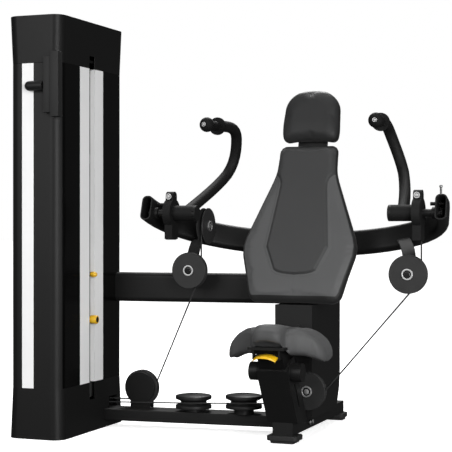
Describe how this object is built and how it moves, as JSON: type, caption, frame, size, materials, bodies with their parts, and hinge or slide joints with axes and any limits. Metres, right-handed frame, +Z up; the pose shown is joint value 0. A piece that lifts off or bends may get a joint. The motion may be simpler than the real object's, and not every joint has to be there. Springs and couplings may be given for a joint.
{
  "type": "pec deck machine",
  "caption": "Seated selectorised gym machine with a shrouded weight tower, cable drive, swinging hand arms, reclined back, headrest and height-set saddle seat.",
  "frame": {"origin": "floor level, under the middle of the front foot, on the seat's plane of symmetry", "axes": "+X to the viewer's right, +Y away from the viewer, +Z up"},
  "size_m": [1.6528, 0.9964, 1.63],
  "materials": {
    "black_frame": "satin black powder coat",
    "black_shell": "satin moulded shell",
    "light_panel": "fine perforated light panel",
    "steel": "polished rod",
    "cable": "coated steel cable",
    "rubber": "moulded rubber",
    "iron": "painted plate",
    "yellow": "bright moulded handle",
    "pulley": "moulded nylon",
    "seat_leather": "upholstery vinyl",
    "back_leather": "upholstery vinyl"
  },
  "bodies": {
    "frame": {"base_rail": "black_frame", "floor_beam": "black_frame", "front_foot": "rubber", "rear_foot": "rubber", "main_column": "black_frame", "tie_tube": "black_frame", "bow_beam": "black_frame", "tower_frame": "black_frame", "front_shroud": "black_shell", "rear_shroud": "black_shell", "outer_shroud": "black_shell", "front_light_panel": "light_panel", "side_light_panels": "light_panel", "top_cap": "black_shell", "base_cap": "black_shell", "accessory_box": "black_shell", "accessory_peg": "black_shell", "guide_rods": "steel", "stack_cushions": "rubber", "resting_plates": "iron", "top_pulley_frame": "black_frame", "lower_pulley_axle": "black_frame", "left_cable": "cable", "right_cable": "cable", "yoke_cables": "cable", "top_lift_cable": "cable", "rear_lift_cable": "cable", "front_lift_cable": "cable", "left_axle": "black_frame", "right_axle": "black_frame", "left_hanger": "black_frame", "right_hanger": "black_frame", "pulley_mounts": "black_frame", "seat_post": "black_frame", "back_frame": "black_frame", "backrest_pads": "back_leather", "headrest_pad": "seat_leather"},
    "weight_stack": {"lifted_plates": "iron", "top_plate": "iron"},
    "selector_pin": {"selector_pin": "yellow"},
    "add_on_pin": {"add_on_pin": "yellow"},
    "cable_yoke": {"cable_yoke": "black_frame"},
    "left_arm": {"left_arm": "black_frame", "hand_flanges_left": "rubber"},
    "right_arm": {"right_arm": "black_frame", "hand_flanges_right": "rubber"},
    "seat": {"seat_slide": "black_frame", "seat_pad": "seat_leather"},
    "seat_lever": {"seat_lever": "yellow"},
    "left_hanging_pulley": {"left_hanging_pulley": "pulley"},
    "right_hanging_pulley": {"right_hanging_pulley": "pulley"},
    "left_sheave": {"left_sheave": "pulley"},
    "base_pulley": {"base_pulley": "pulley"},
    "flat_pulley_left": {"flat_pulley_left": "pulley"},
    "flat_pulley_right": {"flat_pulley_right": "pulley"},
    "column_pulley": {"column_pulley": "pulley"},
    "left_lower_pulley": {"left_lower_pulley": "pulley"},
    "right_lower_pulley": {"right_lower_pulley": "pulley"},
    "rear_top_pulley": {"rear_top_pulley": "pulley"},
    "front_top_pulley": {"front_top_pulley": "pulley"}
  },
  "joints": [
    {"name": "stack_lift", "type": "slide", "parent": "frame", "child": "weight_stack", "axis": [0, 0, 1], "range_m": [0, 0.305], "deforming": ["front_lift_cable"]},
    {"name": "left_arm_swing", "type": "hinge", "parent": "frame", "child": "left_arm", "pos_m": [-0.44, 0.07, 0.869], "axis": [1, 0, 0], "range_deg": [0, 70]},
    {"name": "right_arm_swing", "type": "hinge", "parent": "frame", "child": "right_arm", "pos_m": [0.44, 0.07, 0.869], "axis": [1, 0, 0], "range_deg": [0, 70]},
    {"name": "yoke_travel", "type": "slide", "parent": "frame", "child": "cable_yoke", "axis": [0, 0, -1], "range_m": [0, 0.305], "deforming": ["yoke_cables", "rear_lift_cable"]},
    {"name": "selector_pin_pull", "type": "slide", "parent": "weight_stack", "child": "selector_pin", "axis": [1, 0, 0], "range_m": [0, 0.095]},
    {"name": "add_on_pin_pull", "type": "slide", "parent": "weight_stack", "child": "add_on_pin", "axis": [1, 0, 0], "range_m": [0, 0.03]},
    {"name": "seat_height", "type": "slide", "parent": "frame", "child": "seat", "axis": [0, -0.5299, 0.848], "range_m": [0, 0.1]},
    {"name": "seat_lever_squeeze", "type": "hinge", "parent": "seat", "child": "seat_lever", "pos_m": [0, -0.206, 0.346], "axis": [-1, 0, 0], "range_deg": [0, 14], "stiffness_Nm_per_rad": 1.5},
    {"name": "left_hanging_pulley_spin", "type": "hinge", "parent": "frame", "child": "left_hanging_pulley", "pos_m": [-0.452, 0.151, 0.64], "axis": [0, -1, 0], "range_deg": [0, 353]},
    {"name": "right_hanging_pulley_spin", "type": "hinge", "parent": "frame", "child": "right_hanging_pulley", "pos_m": [0.455, 0.09, 0.64], "axis": [0, -1, 0], "range_deg": [0, 353]},
    {"name": "left_sheave_spin", "type": "hinge", "parent": "frame", "child": "left_sheave", "pos_m": [-0.402, 0.201, 0.818], "axis": [-1, 0, 0], "range_deg": [0, 353]},
    {"name": "base_pulley_spin", "type": "hinge", "parent": "frame", "child": "base_pulley", "pos_m": [-0.685, 0.202, 0.155], "axis": [0, -1, 0], "range_deg": [0, 353]},
    {"name": "flat_pulley_left_spin", "type": "hinge", "parent": "frame", "child": "flat_pulley_left", "pos_m": [-0.44, 0.162, 0.11294], "axis": [0, 0, 1], "range_deg": [0, 353]},
    {"name": "flat_pulley_right_spin", "type": "hinge", "parent": "frame", "child": "flat_pulley_right", "pos_m": [-0.225, 0.162, 0.1232], "axis": [0, 0, 1], "range_deg": [0, 353]},
    {"name": "column_pulley_spin", "type": "hinge", "parent": "frame", "child": "column_pulley", "pos_m": [0.064, 0.086, 0.187], "axis": [0, -1, 0], "range_deg": [0, 353]},
    {"name": "left_lower_pulley_spin", "type": "hinge", "parent": "frame", "child": "left_lower_pulley", "pos_m": [-0.8785, 0.202, 0.1485], "axis": [0, -1, 0], "range_deg": [0, 405]},
    {"name": "right_lower_pulley_spin", "type": "hinge", "parent": "frame", "child": "right_lower_pulley", "pos_m": [-0.8785, 0.165, 0.1355], "axis": [0, -1, 0], "range_deg": [0, 405]},
    {"name": "rear_top_pulley_spin", "type": "hinge", "parent": "frame", "child": "rear_top_pulley", "pos_m": [-0.922, 0.14, 1.548], "axis": [-1, 0, 0], "range_deg": [0, 405]},
    {"name": "front_top_pulley_spin", "type": "hinge", "parent": "frame", "child": "front_top_pulley", "pos_m": [-0.922, 0.0375, 1.548], "axis": [-1, 0, 0], "range_deg": [0, 405]}
  ],
  "couplings": [
    {"joint": "left_arm_swing", "follows": "stack_lift", "rad_per_m": 4},
    {"joint": "right_arm_swing", "follows": "stack_lift", "rad_per_m": 4},
    {"joint": "yoke_travel", "follows": "stack_lift", "ratio": 1},
    {"joint": "left_hanging_pulley_spin", "follows": "stack_lift", "rad_per_m": 20},
    {"joint": "right_hanging_pulley_spin", "follows": "stack_lift", "rad_per_m": 20},
    {"joint": "left_sheave_spin", "follows": "stack_lift", "rad_per_m": 20},
    {"joint": "base_pulley_spin", "follows": "stack_lift", "rad_per_m": 20},
    {"joint": "flat_pulley_left_spin", "follows": "stack_lift", "rad_per_m": 20},
    {"joint": "flat_pulley_right_spin", "follows": "stack_lift", "rad_per_m": 20},
    {"joint": "column_pulley_spin", "follows": "stack_lift", "rad_per_m": 20},
    {"joint": "left_lower_pulley_spin", "follows": "stack_lift", "rad_per_m": 22.988},
    {"joint": "right_lower_pulley_spin", "follows": "stack_lift", "rad_per_m": 22.988},
    {"joint": "rear_top_pulley_spin", "follows": "stack_lift", "rad_per_m": 22.988},
    {"joint": "front_top_pulley_spin", "follows": "stack_lift", "rad_per_m": 22.988}
  ]
}
